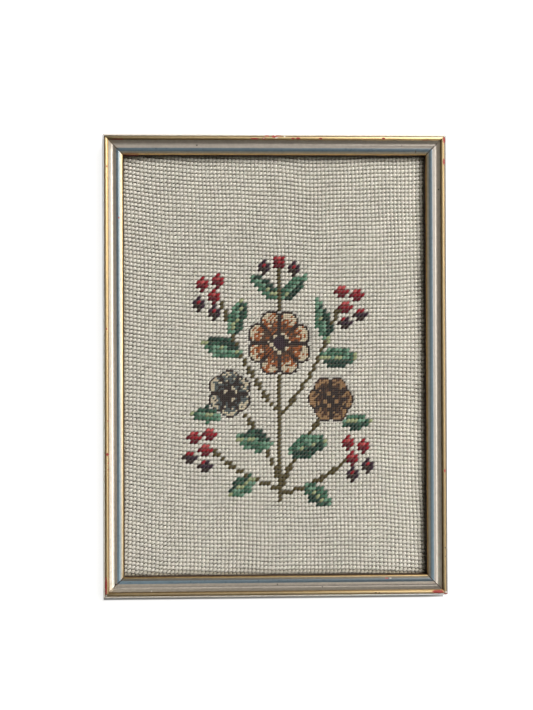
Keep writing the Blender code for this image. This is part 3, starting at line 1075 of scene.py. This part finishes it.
@dataclass
class Needle:
    """Lays stitches down as a mesh, each a little unlike the next.

    Attributes:
        seed: Where its chance starts.
        turn: How far a stitch may be turned, in radians.
        swell: How far its thickness varies, as a share.
        drift: How far it lies off its place, as a share of its cell.
        light: How far its colour varies in lightness, as a share.
        tint: How far its colour varies in hue, as a share.
    """

    seed: int = 11
    turn: float = 0.035
    swell: float = 0.026
    drift: float = 0.011
    light: float = 0.022
    tint: float = 0.005

    def lay(self, name: str, work: Worked, stitch: Stitch, material: Material) -> Piece:
        """Makes one mesh of many stitches.

        Args:
            name: The piece's name.
            work: The stitches.
            stitch: The shape of each.
            material: The wool.

        Returns:
            The piece, each stitch a closed loop with its colour, painted shade included, and the lay of its
            yarn.
        """
        chance = np.random.default_rng(self.seed)
        count = len(work.x)
        turn = chance.normal(0, self.turn, count)[:, None]
        swell = 1 + chance.normal(0, self.swell, count)[:, None]
        rise = 1 + chance.normal(0, self.swell * 0.8, count)[:, None]
        drift = chance.normal(0, self.drift, (count, 2)) * np.array(work.cell)

        ring_x, ring_y, ring_z = self.rings(work, stitch)
        turned_x = ring_x * np.cos(turn) - ring_y * np.sin(turn)
        turned_y = ring_x * np.sin(turn) + ring_y * np.cos(turn)
        x, y = work.pulled.wander(work.x[:, None] + drift[:, :1] + turned_x * (0.5 + 0.5 * swell),
                                  work.y[:, None] + drift[:, 1:] + turned_y * swell)
        points = np.stack([x, y, work.z[:, None] + ring_z * rise], axis=2).reshape(-1, 3)

        stations, sides = 2 * len(stitch.places), len(stitch.corners)
        piece = mesh_piece(name, points, tube_faces(count, stations, sides), [material])
        self.colour(piece, work, stitch, stations)
        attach(piece, "root")
        return piece

    def rings(self, work: Worked, stitch: Stitch) -> tuple[np.ndarray, np.ndarray, np.ndarray]:
        """Draws the rings of points round the yarn of one even stitch.

        Args:
            work: The stitches, for the size of their cell and yarn.
            stitch: The shape of each.

        Returns:
            The points across, up and high, from its middle at the canvas, in metres.
        """
        places, heights, widths, depths = stitch.loops()
        flat = places * np.array(work.cell)
        tangent = np.gradient(flat, axis=0)
        climb = np.gradient(heights * work.scale)
        level = np.sqrt((tangent ** 2).sum(axis=1))
        length = np.sqrt((tangent ** 2).sum(axis=1) + climb ** 2)
        sideways = np.stack([-tangent[:, 1], tangent[:, 0]], axis=1) / level[:, None]
        upwards = -tangent / level[:, None] * (climb / length)[:, None]
        angles = np.radians(stitch.corners)
        wide = (widths * work.scale)[:, None] * np.cos(angles)
        deep = (depths * work.scale)[:, None] * np.sin(angles)
        ring = flat[:, None] + sideways[:, None] * wide[..., None] + upwards[:, None] * deep[..., None]
        high = heights[:, None] * work.scale + (level / length)[:, None] * deep
        return ring[..., 0].ravel(), ring[..., 1].ravel(), high.ravel()

    def colour(self, piece: Piece, work: Worked, stitch: Stitch, stations: int) -> None:
        """Stores each stitch's colour, painted shade included, and for each point its place along and round
        the yarn.

        Args:
            piece: The mesh of stitches.
            work: The stitches.
            stitch: The shape of each.
            stations: How many rings each has.
        """
        chance = np.random.default_rng(self.seed + 1)
        count, sides = len(work.x), len(stitch.corners)
        light = 1 + chance.normal(0, self.light, (count, 1))
        tint = 1 + chance.normal(0, self.tint, (count, 3))
        dye_and_shade = np.ones((count, 4))
        dye_and_shade[:, :3] = np.clip(work.dye_and_shade * light * tint, 0, 1)
        dye_and_shade_layer = piece.data.attributes.new("dye_and_shade", "FLOAT_COLOR", "POINT")
        dye_and_shade_layer.data.foreach_set("color", np.repeat(dye_and_shade, stations * sides, axis=0).ravel())
        lay = np.zeros((count, stations, sides, 3))
        lay[..., 0] = (np.arange(stations) / (stations - 1))[:, None]
        lay[..., 1] = np.array(stitch.corners) / 360
        lays = piece.data.attributes.new("lay", "FLOAT_VECTOR", "POINT")
        lays.data.foreach_set("vector", lay.ravel())


def mottled(x: float, y: float, shades: tuple[Yarn, ...]) -> Yarn:
    """Picks one of several wools for a stitch, as if by chance but always alike."""
    chance = math.sin(x * 12.9898 + y * 78.233) * 43758.5453 % 1
    return shades[int(chance * len(shades))]


@dataclass(frozen=True)
class Leaf:
    """A pointed leaf with a pale vein and one dark half.

    Attributes:
        base: Where it leaves its stem, in stitches from the picture's middle.
        tip: Its point.
        width: Half its width, in stitches.
        dark: Wools of its dark half.
        light: Wools of its light half.
        vein: Wools of its vein and its tip.
    """

    base: Pair
    tip: Pair
    width: float
    dark: tuple[Yarn, ...] = (Yarn.PINE, Yarn.PINE, Yarn.FERN)
    light: tuple[Yarn, ...] = (Yarn.LEAF, Yarn.LEAF, Yarn.SAGE, Yarn.FERN)
    vein: tuple[Yarn, ...] = (Yarn.SAGE, Yarn.LIME)

    def yarn_at(self, x: float, y: float) -> Yarn | None:
        """Names the leaf's yarn at a place.

        Args:
            x: The place across, in stitches from the picture's middle.
            y: The place up.

        Returns:
            The yarn, or none outside the leaf.
        """
        run = Vector(self.tip) - Vector(self.base)
        away = Vector((x, y)) - Vector(self.base)
        along = away.dot(run) / run.length_squared
        if not 0 <= along <= 1:
            return None
        off = (run.x * away.y - run.y * away.x) / run.length
        edge = self.width * math.sin(math.pi * along ** 0.8) ** 0.85
        if abs(off) > edge + 0.12:
            return None
        if along > 0.86 or (abs(off) < 0.42 and along < 0.8):
            return mottled(x, y, self.vein)
        return mottled(x, y, self.dark if off < 0 else self.light)


@dataclass(frozen=True)
class Stem:
    """A bending stem, one or two stitches wide.

    Attributes:
        points: The start, the pull and the end of its curve, in stitches from the middle.
        yarn: Its wool.
        width: Half its width, in stitches.
    """

    points: tuple[Pair, Pair, Pair]
    yarn: Yarn = Yarn.OLIVE
    width: float = 0.52

    def yarn_at(self, x: float, y: float) -> Yarn | None:
        """Names the stem's yarn at a place.

        Args:
            x: The place across, in stitches from the picture's middle.
            y: The place up.

        Returns:
            The yarn, or none off the stem.
        """
        start, pull, end = (Vector(point) for point in self.points)
        for step in range(81):
            share = step / 80
            bend = start * (1 - share) ** 2 + pull * 2 * share * (1 - share) + end * share ** 2
            if (Vector((x, y)) - bend).length < self.width:
                return self.yarn
        return None


@dataclass(frozen=True)
class Bud:
    """A round closed bud with a lit side.

    Attributes:
        middle: Its middle, in stitches from the picture's middle.
        radius: Its radius, in stitches.
        shades: The wools of its gleam, its lit side and its dark side.
    """

    middle: Pair
    radius: float
    shades: tuple[Yarn, Yarn, Yarn] = (Yarn.ROSE, Yarn.CHERRY, Yarn.WINE)

    def yarn_at(self, x: float, y: float) -> Yarn | None:
        """Names the bud's yarn at a place.

        Args:
            x: The place across, in stitches from the picture's middle.
            y: The place up.

        Returns:
            The yarn, or none outside the bud.
        """
        away_x, away_y = x - self.middle[0], y - self.middle[1]
        if math.hypot(away_x, away_y) > self.radius:
            return None
        gleam, light, dark = self.shades
        lit = (away_x * 0.5 + away_y) / self.radius
        if 0.25 < lit < 0.8 and abs(away_x) < 0.6:
            return gleam
        return light if lit > -0.25 else dark


@dataclass(frozen=True)
class Rosette:
    """A round open blossom, worked in fine stitches.

    Attributes:
        middle: Its middle, in stitches from the picture's middle.
        radius: From the middle to a petal's tip, in stitches.
        petals: How many petals it has.
        shades: Wools of the eye, the seeds, and the petals from their roots to their tips.
        outline: The wool between the petals.
        start: Turn of the first petal, in radians.
    """

    middle: Pair
    radius: float
    petals: int
    shades: tuple[Yarn, Yarn, Yarn, Yarn, Yarn]
    outline: Yarn = Yarn.UMBER
    start: float = 0.0

    def yarn_at(self, x: float, y: float) -> Yarn | None:
        """Names the blossom's yarn at a place.

        Args:
            x: The place across, in stitches from the picture's middle.
            y: The place up.

        Returns:
            The yarn, or none outside the blossom.
        """
        away_x, away_y = x - self.middle[0], y - self.middle[1]
        far = math.hypot(away_x, away_y) / self.radius
        turn = (math.atan2(away_y, away_x) + self.start) / math.tau * self.petals
        across = abs(turn - round(turn)) * 2
        edge = 0.80 + 0.20 * math.cos(across * math.pi / 2) ** 0.6
        if far > edge:
            return None
        eye, seeds, root, middle, tip = self.shades
        if far < 0.17:
            return eye
        if far < 0.33:
            speckled = (round(x * 2) + round(y * 2)) % 3 == 0
            return seeds if speckled else self.outline
        if across > 0.80 or far > edge - 0.07:
            return self.outline
        if far < 0.55:
            return mottled(x, y, (root, root, middle))
        return mottled(x, y, (middle, middle, root, tip) if far < 0.74 else (tip, tip, tip, middle))


@dataclass
class Posy:
    """An upright posy of three blossoms, leaves and buds, in the manner of a sampler.

    Attributes:
        middle: Its middle, in stitches from the middle of the sight.
        ripe: The wools of its dark buds.
    """

    middle: Pair = (1.0, -2.0)
    ripe: tuple[Yarn, Yarn, Yarn] = (Yarn.CHERRY, Yarn.PLUM, Yarn.UMBER)

    def __post_init__(self) -> None:
        """Sets out the motifs, the blossoms in fine stitches and the rest in coarse ones."""
        warm = (Yarn.PLUM, Yarn.CREAM, Yarn.BARK, Yarn.RUST, Yarn.CREAM)
        dusk = (Yarn.UMBER, Yarn.CREAM, Yarn.UMBER, Yarn.SLATE, Yarn.CREAM)
        earth = (Yarn.UMBER, Yarn.TAN, Yarn.UMBER, Yarn.BARK, Yarn.TAN)
        self.blossoms = [
            Rosette((0.0, 8.5), 8.6, 8, warm, start=math.pi / 8),
            Rosette((-13.0, -4.5), 6.0, 6, dusk, start=math.pi / 6),
            Rosette((13.5, -5.5), 6.0, 6, earth),
        ]
        self.buds = [
            *self.cluster(-17.0, 19.5, -1), *self.cluster(17.5, 18.0, 1),
            *self.cluster(-19.5, -19.0, -1), *self.cluster(19.0, -20.5, 1),
            Bud((0.0, 29.0), 1.8), Bud((-4.0, 27.5), 1.5, self.ripe), Bud((4.0, 27.5), 1.5, self.ripe),
        ]
        self.stems = [
            Stem(((0.0, -31.0), (0.5, -10.0), (0.0, 3.0)), width=0.62),
            Stem(((-0.5, -25.0), (-5.0, -14.0), (-11.0, -8.0))),
            Stem(((0.5, -27.0), (6.0, -16.0), (11.5, -9.5))),
            Stem(((-0.2, -9.0), (-10.0, 2.0), (-15.0, 18.0))),
            Stem(((0.2, -10.0), (10.0, 1.0), (15.5, 17.0))),
            Stem(((0.0, 15.0), (-0.5, 22.0), (0.0, 27.0))),
            Stem(((-1.0, -28.0), (-9.0, -26.0), (-17.0, -19.5))),
            Stem(((1.0, -29.0), (9.0, -28.0), (17.0, -21.0))),
        ]
        self.leaves = [
            Leaf((-2.0, -17.0), (-12.0, -15.5), 2.6), Leaf((2.5, -19.0), (13.0, -15.5), 2.6),
            Leaf((-6.5, -25.5), (-14.0, -30.5), 2.1), Leaf((6.5, -27.0), (13.5, -32.5), 2.1),
            Leaf((-10.0, 6.0), (-20.5, 8.0), 2.6), Leaf((10.5, 5.0), (21.0, 5.5), 2.6),
            Leaf((-12.5, 10.0), (-9.5, 20.0), 2.0), Leaf((13.0, 9.0), (10.0, 20.0), 2.0),
            Leaf((-0.3, 20.0), (-7.5, 25.5), 1.9), Leaf((0.3, 19.5), (7.5, 26.0), 1.9),
            Leaf((-15.0, -9.5), (-23.5, -10.5), 2.0), Leaf((16.0, -11.0), (24.5, -11.5), 2.0),
        ]

    def cluster(self, x: float, y: float, side: int) -> list[Bud]:
        """Sets five small buds round the end of a stem.

        Args:
            x: The stem's end across, in stitches from the picture's middle.
            y: The stem's end up.
            side: One to lean to the right, minus one to the left.

        Returns:
            The buds.
        """
        return [Bud((x, y), 1.8), Bud((x + side * 4.0, y - 2.0), 1.6, self.ripe),
                Bud((x - side * 1.0, y + 4.0), 1.6), Bud((x + side * 3.0, y + 3.0), 1.5),
                Bud((x, y - 4.0), 1.5, self.ripe)]

    def yarn_at(self, x: float, y: float, fine: bool) -> Yarn | None:
        """Names the yarn of a stitch.

        Args:
            x: Its place across, in stitches from the middle of the sight.
            y: Its place up.
            fine: Whether it is asked for a fine stitch.

        Returns:
            The yarn, or none where the ground goes on.
        """
        motifs = self.blossoms if fine else [*self.buds, *self.leaves, *self.stems]
        yarns = (motif.yarn_at(x - self.middle[0], y - self.middle[1]) for motif in motifs)
        return next((yarn for yarn in yarns if yarn is not None), None)


@dataclass
class Needlework:
    """All the stitches, sorted into ground, coarse picture and fine picture.

    Attributes:
        margin: Rows and columns reckoned outside the sight, before the cut edge stops them.
        hem: How far the outermost stitches stay off the cut edge, in metres.
        bands: Into how many pieces the ground is parted.
        fine_scale: The fine yarn's thickness, of the coarse yarn's.
        dust_and_shade: How far grime and painted shade darken the wool by the lip, left, right, bottom, top.
        dust_and_shade_reach: How far from the lip the darkening reaches on those sides, in metres.
        dust_and_shade_tint: How far the darkening takes away red, green and blue.
        lighter_to_right: How far the wool is made lighter towards the right edge.
    """

    margin: int = 7
    hem: float = 0.0016
    bands: int = 4
    fine_scale: float = 0.56
    dust_and_shade: tuple[float, float, float, float] = (0.18, 0.44, 0.56, 0.52)
    dust_and_shade_reach: tuple[float, float, float, float] = (0.0026, 0.0050, 0.0030, 0.0034)
    dust_and_shade_tint: tuple[float, float, float] = (0.95, 1.0, 1.12)
    lighter_to_right: float = 0.09

    def build(self, cloth: StretchedCloth, posy: Posy, wool: Material) -> list[Piece]:
        """Stitches the canvas.

        Args:
            cloth: Where the cloth lies.
            posy: The picture.
            wool: The wool.

        Returns:
            The pieces, the ground's first.
        """
        coarse, fine = self.chart(posy)
        work = self.place(cloth, coarse, 1.0, 1.0)
        shade = work.dye_and_shade / np.array(linear(*Yarn.ECRU.value)[:3])
        plain = np.ptp(shade, axis=1) < 1e-6
        grounds = np.nonzero(plain)[0][np.argsort(work.y[plain], kind="stable")]
        pieces = [Needle(seed=20 + band).lay(f"ground_wool_{band + 1}", work.part(chosen), Stitch(), wool)
                  for band, chosen in enumerate(np.array_split(grounds, self.bands))]
        pieces.append(Needle(seed=41).lay("leaf_and_stem_wool", work.part(~plain), Stitch(), wool))
        blossoms = self.place(cloth, fine, 0.5, self.fine_scale)
        pieces.append(Needle(seed=42).lay("blossom_wool", blossoms, FINE_STITCH, wool))
        return pieces

    def chart(self, posy: Posy) -> tuple[list, list]:
        """Sets each cell of the canvas to a coarse stitch, or to four fine ones.

        Args:
            posy: The picture.

        Returns:
            Coarse and fine stitches, each with its place in stitches and its yarn.
        """
        coarse, fine = [], []
        for row in range(-self.margin, STITCHES_UP + self.margin):
            for column in range(-self.margin, STITCHES_ACROSS + self.margin):
                x = column + 0.5 - STITCHES_ACROSS / 2
                y = row + 0.5 - STITCHES_UP / 2
                quarters = [(x + dx, y + dy) for dy in (-0.25, 0.25) for dx in (-0.25, 0.25)]
                yarns = [posy.yarn_at(*quarter, fine=True) for quarter in quarters]
                if any(yarns):
                    fine.extend((*quarter, yarn or Yarn.ECRU) for quarter, yarn in zip(quarters, yarns))
                else:
                    coarse.append((x, y, posy.yarn_at(x, y, fine=False) or Yarn.ECRU))
        return coarse, fine

    def place(self, cloth: StretchedCloth, stitches: list, cell: float, scale: float) -> Worked:
        """Moves stitches from the chart to the pulled canvas.

        Args:
            cloth: Where the cloth lies.
            stitches: Stitches with their place on the chart and their yarn.
            cell: The size of a cell, of a coarse one's.
            scale: The yarn's thickness, of a coarse stitch's.

        Returns:
            Those that lie on the cut canvas.
        """
        x = np.array([stitch[0] for stitch in stitches]) * cloth.across
        y = np.array([stitch[1] for stitch in stitches]) * cloth.up
        dye_and_shade = np.array([linear(*stitch[2].value)[:3] for stitch in stitches])
        there_x, there_y = cloth.wander(x, y)
        kept = (np.abs(there_x) < cloth.high.x - self.hem) & (np.abs(there_y) < cloth.high.y - self.hem)
        x, y, dye_and_shade, there_x, there_y = (values[kept] for values in (x, y, dye_and_shade, there_x, there_y))
        z = cloth.top(there_x, there_y) - cloth.wool
        half_width, half_height = cloth.sight_width / 2, cloth.sight_height / 2
        insides = (half_width + there_x, half_width - there_x, half_height + there_y, half_height - there_y)
        # The wool is made lighter towards the right edge.
        lightened = 1 + self.lighter_to_right * np.clip(2 * there_x / half_width - 0.8, 0, 1)
        dyed_and_shaded = dye_and_shade * lightened[:, None]
        # Painted shade: the wool by the lip is darkened, partly as grime and partly as the lip's shadow and
        # the shade under it.
        for dust_and_shade, reach, inside in zip(self.dust_and_shade, self.dust_and_shade_reach, insides):
            soiled_and_shaded = dust_and_shade * np.clip(1 - inside / reach, 0, 1)
            dyed_and_shaded *= 1 - soiled_and_shaded[:, None] * np.array(self.dust_and_shade_tint)
        return Worked(x, y, z, dyed_and_shaded, cloth, (cloth.across * cell, cloth.up * cell), scale)


@dataclass
class Backing:
    """The board behind the work, as the frame has it."""

    def dress(self, material: Material) -> Piece:
        """Gives the board's solid its finish.

        Args:
            material: The board's finish.

        Returns:
            The board.
        """
        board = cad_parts["backing_board"]
        board.data.materials.clear()
        board.data.materials.append(material)
        return board


@dataclass
class Studio:
    """A pale floor and backdrop, window light from the right, and the camera over the picture.

    Attributes:
        eye: The camera's place, in metres.
        tilt: The camera's turns about X, Y and Z, in degrees.
        lens: Its focal length, in millimetres.
        reach: Half the floor's size and the backdrop's radius, in metres.
        under: How far the floor lies under the frame, in metres.
        sides: How many sides the round backdrop has.
        room: Strength of the room's even light.
        glow: Strength of the floor's glow.
        shade: How far the shadow painted into the floor's glow reaches to the left of the frame and down, in
            metres.
    """

    eye: tuple[float, float, float] = (-0.0208, 0.0035, 0.6)
    tilt: tuple[float, float, float] = (0.304, -1.453, -0.200)
    lens: float = 46.125
    reach: float = 8.0
    under: float = 0.0002
    sides: int = 48
    room: float = 0.060
    glow: float = 0.86
    shade: Pair = (0.00216, 0.0048)

    def build(self) -> None:
        """Builds the stage, the lights and the camera."""
        self.lay_floor()
        self.hang_backdrop()
        self.light("window", azimuth=40.0, elevation=49.5, away=3.0, size=(2.4, 2.0), power=130.0,
                   colour=(1.0, 0.985, 0.97))
        gleam = self.light("gleam", azimuth=0.0, elevation=46.0, away=3.0, size=(3.0, 1.3), power=57.0,
                           colour=(0.93, 0.96, 1.0))
        gleam.visible_diffuse = False
        world = bpy.data.worlds.new("room")
        bpy.context.scene.world = world
        world.use_nodes = True
        sky = world.node_tree.nodes["Background"]
        sky.inputs["Color"].default_value = (1.0, 0.95, 0.88, 1.0)
        sky.inputs["Strength"].default_value = self.room
        view = bpy.context.scene.view_settings
        view.view_transform = "Standard"
        view.look = "None"
        camera = bpy.data.objects.new("camera", bpy.data.cameras.new("camera"))
        camera.location = self.eye
        camera.rotation_euler = Euler([math.radians(turn) for turn in self.tilt], "XYZ")
        camera.data.lens = self.lens
        camera.data.sensor_width = 36.0
        bpy.context.scene.collection.objects.link(camera)
        bpy.context.scene.camera = camera

    def lay_floor(self) -> None:
        """Lays the floor under the frame, glowing so that its shadows stay pale, with a painted shadow where
        the glow dims along the frame's left and bottom sides.
        """
        corners = ((-1, -1), (1, -1), (1, 1), (-1, 1))
        points = np.array([(x * self.reach, y * self.reach, -self.under) for x, y in corners])
        nodes = Nodes("pale_floor_with_painted_shadow")
        outside: object = -1.0
        for axis, place in enumerate(nodes.axes(nodes.place())[:2]):
            half_size = (CAD_BOX[1][axis] - CAD_BOX[0][axis] + self.shade[axis]) / 2
            from_middle = nodes.sum("ADD", place, self.shade[axis] / 2)
            beyond = nodes.sum("SUBTRACT", nodes.sum("ABSOLUTE", from_middle), half_size)
            outside = nodes.sum("MAXIMUM", outside, beyond)
        # Painted shadow: the glow drops to a small share under the frame and in a band to its left and below
        # it.
        glow = nodes.spread(outside, -0.0005, 0.0004, 0.06 * self.glow, self.glow)
        finish = nodes.dress({"Base Color": (0.42, 0.42, 0.415, 1.0), "Roughness": 0.9,
                              "Specular IOR Level": 0.0, "Emission Color": (1.0, 1.0, 0.99, 1.0),
                              "Emission Strength": glow})
        mesh_piece("floor", points, [np.array([[0, 1, 2, 3]])], [finish], smooth=False)

    def hang_backdrop(self) -> None:
        """Hangs a pale round backdrop that the camera sees, and that throws no light."""
        turns = math.tau * np.arange(self.sides) / self.sides
        points = np.concatenate([np.stack([self.reach * np.cos(turns), self.reach * np.sin(turns),
                                           np.full(self.sides, height)], axis=1) for height in (-0.5, 4.0)])
        finish = Nodes("pale_backdrop").dress({
            "Base Color": (0.0, 0.0, 0.0, 1.0), "Specular IOR Level": 0.0,
            "Emission Color": (0.94, 0.94, 0.93, 1.0), "Emission Strength": 1.0})
        backdrop = mesh_piece("backdrop", points, tube_faces(1, 2, self.sides)[:1], [finish])
        backdrop.visible_diffuse = False
        backdrop.visible_glossy = False
        backdrop.visible_shadow = False

    def light(self, name: str, azimuth: float, elevation: float, away: float, size: Pair, power: float,
              colour: tuple[float, float, float]) -> Piece:
        """Hangs a rectangular light that faces the picture.

        Args:
            name: Its name.
            azimuth: Its direction round the picture from +X, in degrees.
            elevation: Its height over the picture's plane, in degrees.
            away: Its distance, in metres.
            size: Its width and height, in metres.
            power: Its power, in watts.
            colour: Its colour.

        Returns:
            The light.
        """
        lamp = bpy.data.lights.new(name, "AREA")
        lamp.shape = "RECTANGLE"
        lamp.size, lamp.size_y = size
        lamp.energy = power
        lamp.color = colour
        turn, rise = math.radians(azimuth), math.radians(elevation)
        place = Vector((math.cos(turn) * math.cos(rise), math.sin(turn) * math.cos(rise),
                        math.sin(rise))) * away
        holder = bpy.data.objects.new(name, lamp)
        holder.location = place
        holder.rotation_euler = place.to_track_quat("Z", "Y").to_euler()
        holder.visible_camera = False
        bpy.context.scene.collection.objects.link(holder)
        return holder


def main() -> None:
    """Builds the pieces in order and reports each."""
    logging.basicConfig(level=logging.INFO, format="%(name)s: %(message)s")
    Studio().build()
    rails = Moulding().build(MouldingFinish().material(), BareWoodFinish().material())
    cloth = StretchedCloth()
    canvas = Canvas().build(cloth, CanvasFinish().material())
    stitched = Needlework().build(cloth, Posy(), WoolFinish().material())
    board = Backing().dress(BoardFinish().material())
    for piece in [*rails, canvas, *stitched, board]:
        log.info("%s: %d faces", piece.name, len(piece.data.polygons))


if __name__ == "__main__":
    main()
